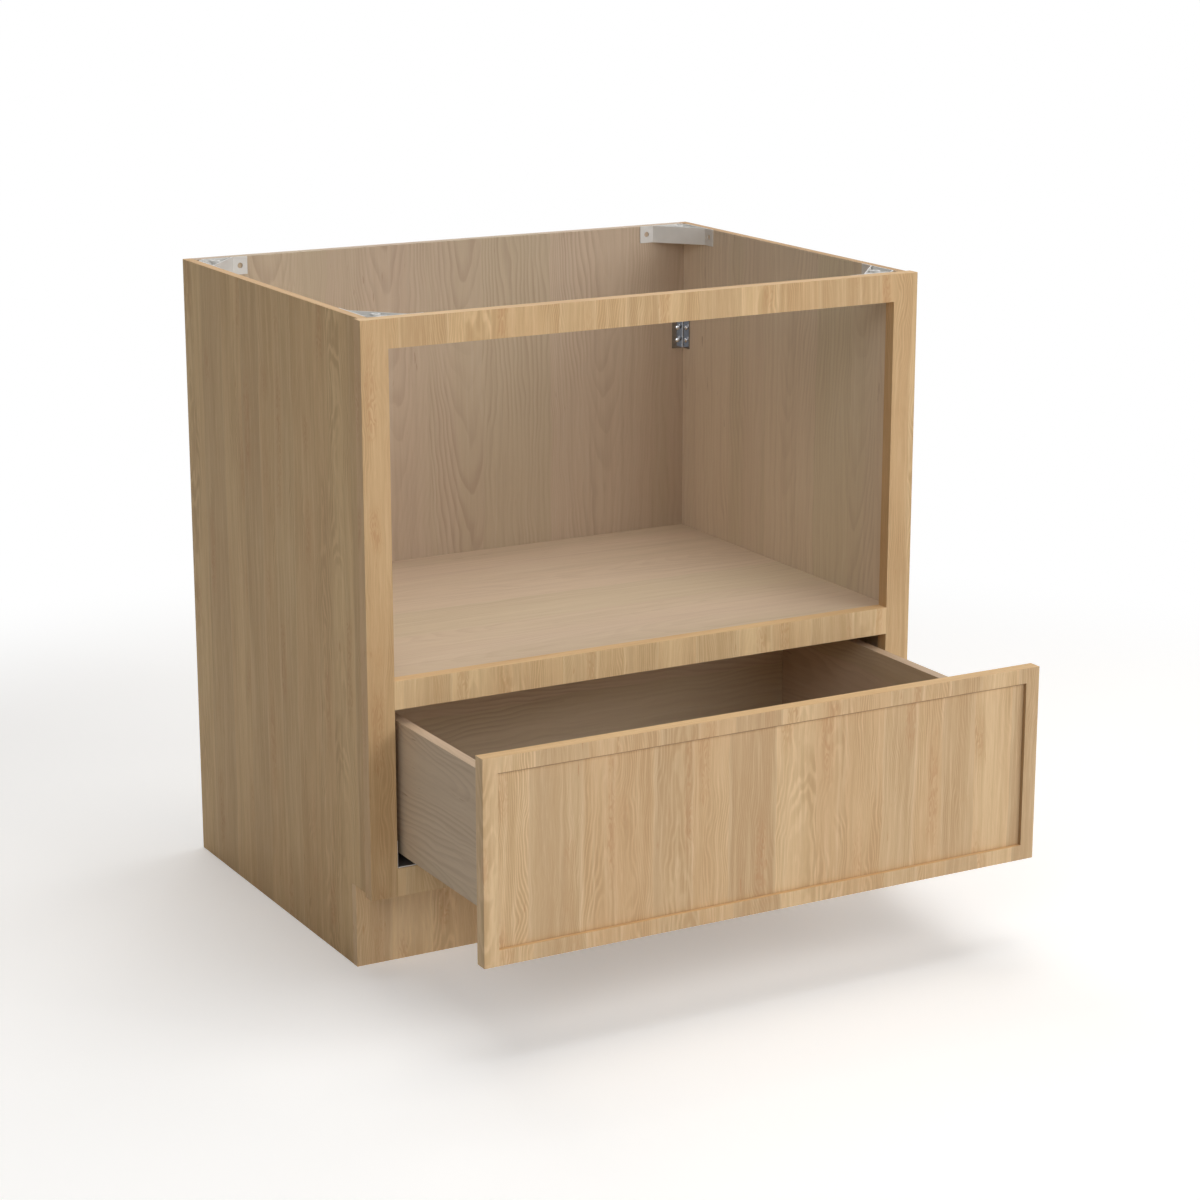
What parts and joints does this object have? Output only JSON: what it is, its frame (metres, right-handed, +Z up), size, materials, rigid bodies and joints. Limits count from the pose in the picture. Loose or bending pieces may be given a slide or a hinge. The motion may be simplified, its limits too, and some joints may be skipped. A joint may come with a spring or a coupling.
{
  "type": "microwave base cabinet",
  "caption": "Face-frame base cabinet with an open microwave niche over a wide drawer on undermount slides, with metal corner braces under an open top.",
  "frame": {"origin": "on the floor, under the middle of the whole outline with the drawer drawn out as in the picture", "axes": "+X to the right seen from the front, +Y from the front to the back, +Z up"},
  "size_m": [0.8382, 0.9198, 0.8763],
  "materials": {
    "oak_face": "satin lacquered light oak, grain upright",
    "oak_side": "satin lacquered light oak veneer on plywood",
    "maple_ply": "clear-coated pale plywood",
    "brace_paint": "satin white paint on pressed sheet",
    "zinc_steel": "bright zinc plate",
    "grey_plastic": "moulded",
    "orange_plastic": "moulded",
    "bumper_rubber": "clear soft dot"
  },
  "bodies": {
    "carcass": {"side_panel_left": "oak_side", "side_panel_right": "oak_side", "back_panel": "maple_ply", "bottom_panel": "maple_ply", "microwave_shelf": "maple_ply", "toe_board": "oak_face", "stile_left": "oak_face", "stile_right": "oak_face", "top_rail": "oak_face", "mid_rail": "oak_face", "bottom_rail": "oak_face", "brace_rear_left": "brace_paint", "brace_rear_right": "brace_paint", "brace_front_left": "brace_paint", "brace_front_right": "brace_paint", "angle_bracket_left": "zinc_steel", "angle_bracket_right": "zinc_steel", "bracket_screws": "zinc_steel", "slide_outer_left": "zinc_steel", "slide_outer_right": "zinc_steel", "slide_screws": "zinc_steel", "rear_socket_left": "grey_plastic", "rear_socket_right": "grey_plastic", "socket_screws": "zinc_steel"},
    "lower_cages": {"lower_cage_left": "grey_plastic", "lower_cage_right": "grey_plastic", "lower_balls": "zinc_steel"},
    "slide_middles": {"slide_middle_left": "zinc_steel", "slide_middle_right": "zinc_steel"},
    "upper_cages": {"upper_cage_left": "grey_plastic", "upper_cage_right": "grey_plastic", "upper_balls": "zinc_steel"},
    "drawer": {"slide_inner_left": "zinc_steel", "slide_inner_right": "zinc_steel", "lock_clip_left": "orange_plastic", "lock_clip_right": "orange_plastic", "clip_screws": "zinc_steel", "drawer_side_left": "maple_ply", "drawer_side_right": "maple_ply", "drawer_box_front": "maple_ply", "drawer_box_back": "maple_ply", "drawer_bottom": "maple_ply", "front_screws": "zinc_steel", "front_stile_left": "oak_face", "front_stile_right": "oak_face", "front_top_rail": "oak_face", "front_bottom_rail": "oak_face", "front_panel": "oak_face", "bumpers": "bumper_rubber"},
    "lever_left": {"release_lever_left": "grey_plastic"},
    "lever_right": {"release_lever_right": "grey_plastic"}
  },
  "joints": [
    {"name": "drawer_slide", "type": "slide", "parent": "carcass", "child": "drawer", "axis": [0, -1, 0], "range_m": [-0.2896, 0.2434]},
    {"name": "middle_slide", "type": "slide", "parent": "carcass", "child": "slide_middles", "axis": [0, -1, 0], "range_m": [-0.1449, 0.1218]},
    {"name": "lower_cage_slide", "type": "slide", "parent": "carcass", "child": "lower_cages", "axis": [0, -1, 0], "range_m": [-0.0725, 0.061]},
    {"name": "upper_cage_slide", "type": "slide", "parent": "carcass", "child": "upper_cages", "axis": [0, -1, 0], "range_m": [-0.2173, 0.1826]},
    {"name": "lever_left_turn", "type": "hinge", "parent": "drawer", "child": "lever_left", "pos_m": [-0.3115, -0.40387, 0.1755], "axis": [0, 0, 1], "range_deg": [-12, 0], "stiffness_Nm_per_rad": 0.05},
    {"name": "lever_right_turn", "type": "hinge", "parent": "drawer", "child": "lever_right", "pos_m": [0.3115, -0.40387, 0.1755], "axis": [0, 0, 1], "range_deg": [0, 12], "stiffness_Nm_per_rad": 0.05}
  ],
  "couplings": [
    {"joint": "middle_slide", "follows": "drawer_slide", "ratio": 0.5},
    {"joint": "lower_cage_slide", "follows": "drawer_slide", "ratio": 0.25},
    {"joint": "upper_cage_slide", "follows": "drawer_slide", "ratio": 0.75}
  ]
}
